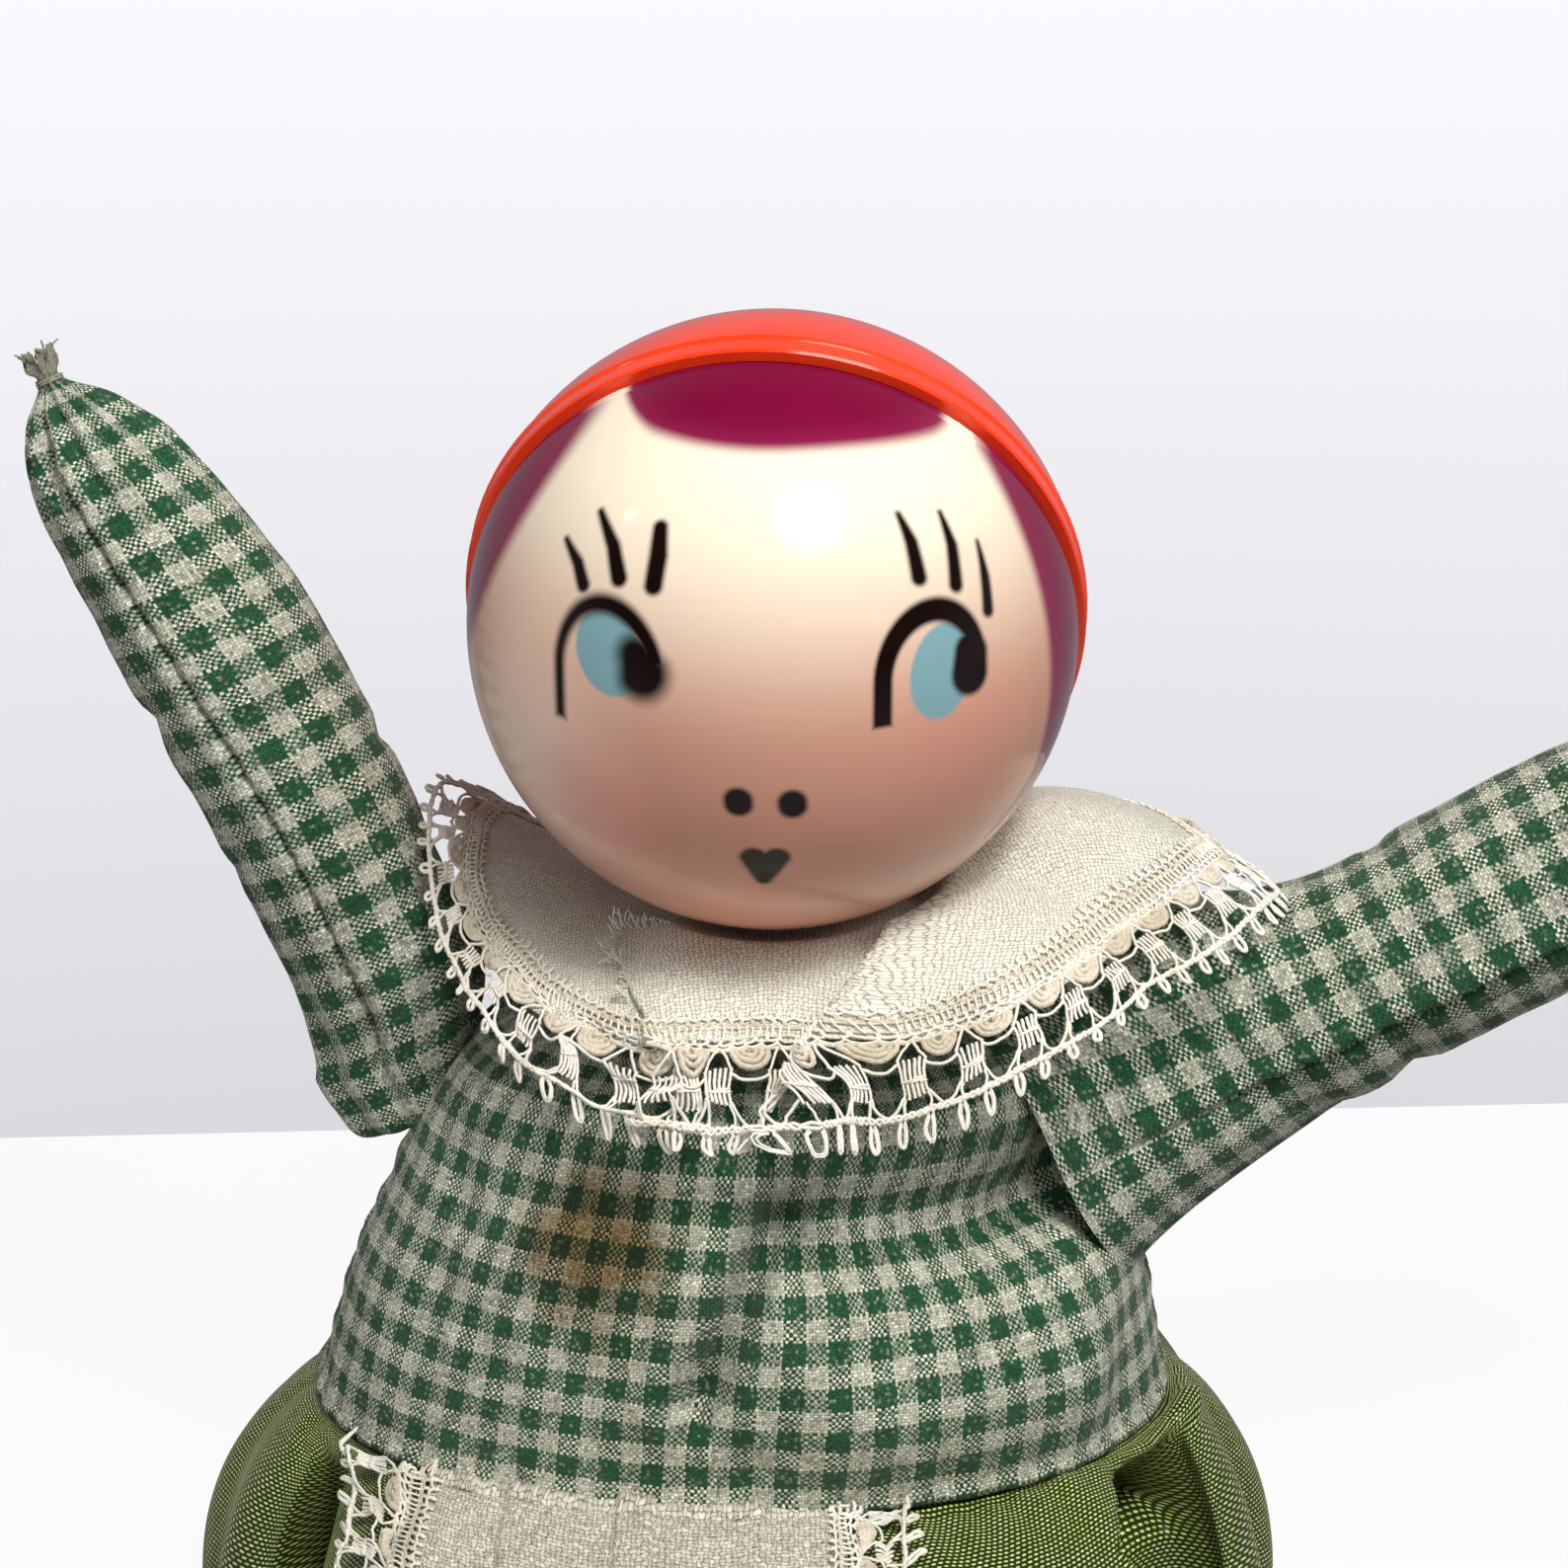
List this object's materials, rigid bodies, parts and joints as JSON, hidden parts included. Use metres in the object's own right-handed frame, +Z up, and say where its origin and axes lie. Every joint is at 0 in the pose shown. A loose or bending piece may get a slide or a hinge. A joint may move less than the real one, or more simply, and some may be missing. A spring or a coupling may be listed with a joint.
{
  "type": "rattle doll",
  "caption": "Seated cloth rattle doll with a hollow plastic ball head on a nodding, turning neck, stuffed gingham limbs, a lace-edged collar, a gathered skirt and an apron.",
  "frame": {"origin": "on the flat underside of the seat, under the middle of the waist", "axes": "+Z up, the doll faces -Y, and its left arm is on +X"},
  "size_m": [0.2193, 0.1841, 0.1689],
  "materials": {
    "ivory_plastic": "glossy moulded ivory plastic with sprayed paint for the face",
    "orange_plastic": "glossy moulded orange-red plastic",
    "spool_plastic": "plain moulded plastic",
    "pellet_plastic": "plain moulded plastic",
    "gingham": "green and cream checked plain-weave cotton",
    "wadding": "loose cotton stuffing",
    "cotton": "cream plain-weave cotton",
    "lace": "cream cotton ladder lace with picots",
    "taffeta": "shiny leaf-green dobby-weave taffeta",
    "thread": "grey sewing thread"
  },
  "bodies": {
    "torso": {"torso_stuffing": "wadding", "bodice_front": "gingham", "bodice_back": "gingham", "seat_bag": "gingham", "neck_thread": "thread", "collar_left": "cotton", "collar_right": "cotton", "collar_lace_left": "lace", "collar_lace_right": "lace", "skirt": "taffeta", "apron": "cotton", "apron_lace_left": "lace", "apron_lace_right": "lace", "apron_lace_hem": "lace"},
    "neck": {"neck_spool": "spool_plastic"},
    "head": {"face_shell": "ivory_plastic", "cap_shell": "orange_plastic"},
    "pellets": {"rattle_pellet_1": "pellet_plastic", "rattle_pellet_2": "pellet_plastic", "rattle_pellet_3": "pellet_plastic", "rattle_pellet_4": "pellet_plastic", "rattle_pellet_5": "pellet_plastic"},
    "arm_right": {"arm_right_sleeve": "gingham", "arm_right_stuffing": "wadding", "arm_right_tie": "thread"},
    "arm_left": {"arm_left_sleeve": "gingham", "arm_left_stuffing": "wadding", "arm_left_tie": "thread"},
    "leg_right": {"leg_right_cloth": "gingham", "leg_right_stuffing": "wadding", "leg_right_tie": "thread"},
    "leg_left": {"leg_left_cloth": "gingham", "leg_left_stuffing": "wadding", "leg_left_tie": "thread"}
  },
  "joints": [
    {"name": "head_nod", "type": "hinge", "parent": "torso", "child": "neck", "pos_m": [0.004, 0, 0.0897], "axis": [1, 0, 0], "range_deg": [-36, 0]},
    {"name": "head_turn", "type": "hinge", "parent": "neck", "child": "head", "pos_m": [0.004, -0.01422, 0.13345], "axis": [0, -0.309, 0.9511], "range_deg": [-90, 90]},
    {"name": "pellets_roll", "type": "hinge", "parent": "head", "child": "pellets", "pos_m": [0.004, -0.01422, 0.13345], "axis": [0, 1, 0], "range_deg": [-50, 50]},
    {"name": "arm_right_raise", "type": "hinge", "parent": "torso", "child": "arm_right", "pos_m": [-0.04387, 0, 0.07777], "axis": [0, 1, 0], "range_deg": [-115, 2], "deforming": ["collar_right", "collar_lace_right"]},
    {"name": "arm_left_raise", "type": "hinge", "parent": "torso", "child": "arm_left", "pos_m": [0.05545, 0, 0.07443], "axis": [0, -1, 0], "range_deg": [-75, 43], "deforming": ["collar_left", "collar_lace_left"]},
    {"name": "leg_right_swing", "type": "hinge", "parent": "torso", "child": "leg_right", "pos_m": [-0.02225, -0.03054, 0.0116], "axis": [1, 0, 0], "range_deg": [0, 80]},
    {"name": "leg_left_swing", "type": "hinge", "parent": "torso", "child": "leg_left", "pos_m": [0.02225, -0.03054, 0.0116], "axis": [1, 0, 0], "range_deg": [0, 80]}
  ]
}
